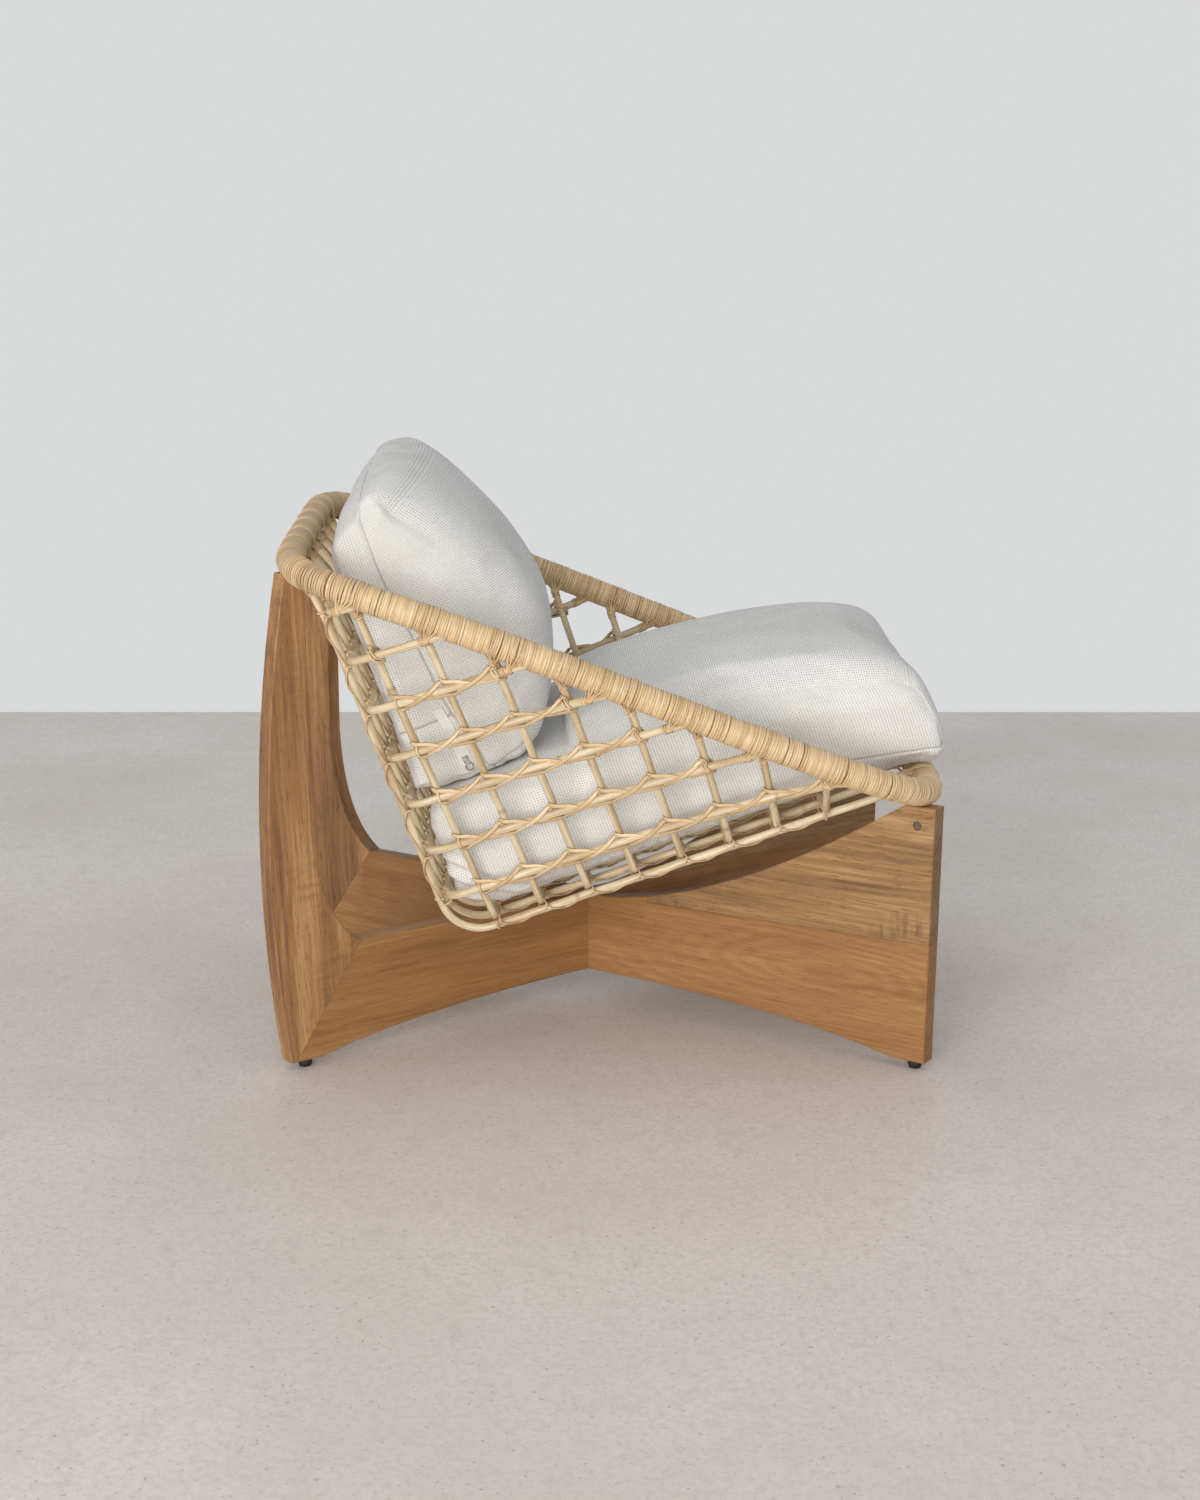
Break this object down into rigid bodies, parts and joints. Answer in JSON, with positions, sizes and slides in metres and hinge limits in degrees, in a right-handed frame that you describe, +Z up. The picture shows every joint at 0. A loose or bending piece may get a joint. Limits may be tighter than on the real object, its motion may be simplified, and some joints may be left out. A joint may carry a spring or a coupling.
{
  "type": "cane basket lounge chair",
  "caption": "Low lounge chair: an open cane basket with a wrapped rim, hung in two crossing wooden panels, with loose seat and back cushions.",
  "frame": {"origin": "on the floor, under the middle of the chair's bounding box", "axes": "+X towards the sitter's left, -Y towards the front of the seat, +Z up"},
  "size_m": [0.71, 0.8168, 0.7198],
  "materials": {
    "post_wood": "oiled hardwood, straight brown grain",
    "beam_wood": "oiled hardwood, lighter orange brown, long grain",
    "leg_wood": "oiled hardwood, figured brown",
    "dowel_wood": "plain turned hardwood",
    "rim_wrap": "split cane wound tightly round a pole, satin",
    "cane": "round cane with its bark, satin",
    "cushion_cloth": "off-white coarse open weave",
    "zip_tape": "woven tape",
    "dark_steel": "dark oxidised",
    "bright_steel": "plated",
    "black_plastic": "moulded black"
  },
  "bodies": {
    "frame": {"rear_post_right": "post_wood", "rear_post_left": "post_wood", "beam_right_rear_to_left_front": "beam_wood", "beam_left_rear_to_right_front": "beam_wood", "front_leg_board_right": "leg_wood", "front_leg_board_left": "leg_wood", "mitre_dowel_right_1": "dowel_wood", "mitre_dowel_right_2": "dowel_wood", "mitre_dowel_left_1": "dowel_wood", "mitre_dowel_left_2": "dowel_wood", "rim_dowel_right": "dowel_wood", "rim_dowel_left": "dowel_wood", "barrel_nut_right": "dark_steel", "barrel_nut_left": "dark_steel", "rim_bolt_right": "bright_steel", "rim_bolt_left": "bright_steel", "glide_rear_right": "black_plastic", "glide_rear_left": "black_plastic", "glide_front_right": "black_plastic", "glide_front_left": "black_plastic", "rim": "rim_wrap", "long_cane_1": "cane", "long_cane_2": "cane", "long_cane_3": "cane", "long_cane_4": "cane", "long_cane_5": "cane", "long_cane_6": "cane", "long_cane_7": "cane", "long_cane_8": "cane", "long_cane_9": "cane", "hoop_cane_1": "cane", "hoop_cane_2": "cane", "hoop_cane_3": "cane", "hoop_cane_4": "cane", "hoop_cane_5": "cane", "hoop_cane_6": "cane", "hoop_cane_7": "cane", "hoop_cane_8": "cane", "row_cane_1": "cane", "row_cane_2": "cane", "row_cane_3": "cane", "row_cane_4": "cane", "row_cane_5": "cane", "row_cane_6": "cane", "row_cane_7": "cane"},
    "loose_seat_cushion": {"seat_cushion": "cushion_cloth"},
    "loose_back_cushion": {"back_cushion": "cushion_cloth", "back_cushion_zip_tape": "zip_tape"},
    "zip_slider": {"back_cushion_zip_slider": "bright_steel"}
  },
  "joints": [
    {"name": "seat_cushion_lift", "type": "slide", "parent": "frame", "child": "loose_seat_cushion", "axis": [0, 0, 1], "range_m": [0, 0.52]},
    {"name": "back_cushion_lift", "type": "slide", "parent": "loose_seat_cushion", "child": "loose_back_cushion", "axis": [0, 0, 1], "range_m": [0, 0.42]},
    {"name": "back_cushion_zip", "type": "slide", "parent": "loose_back_cushion", "child": "zip_slider", "axis": [0, 0.4741, 0.8805], "range_m": [0, 0.06]}
  ]
}
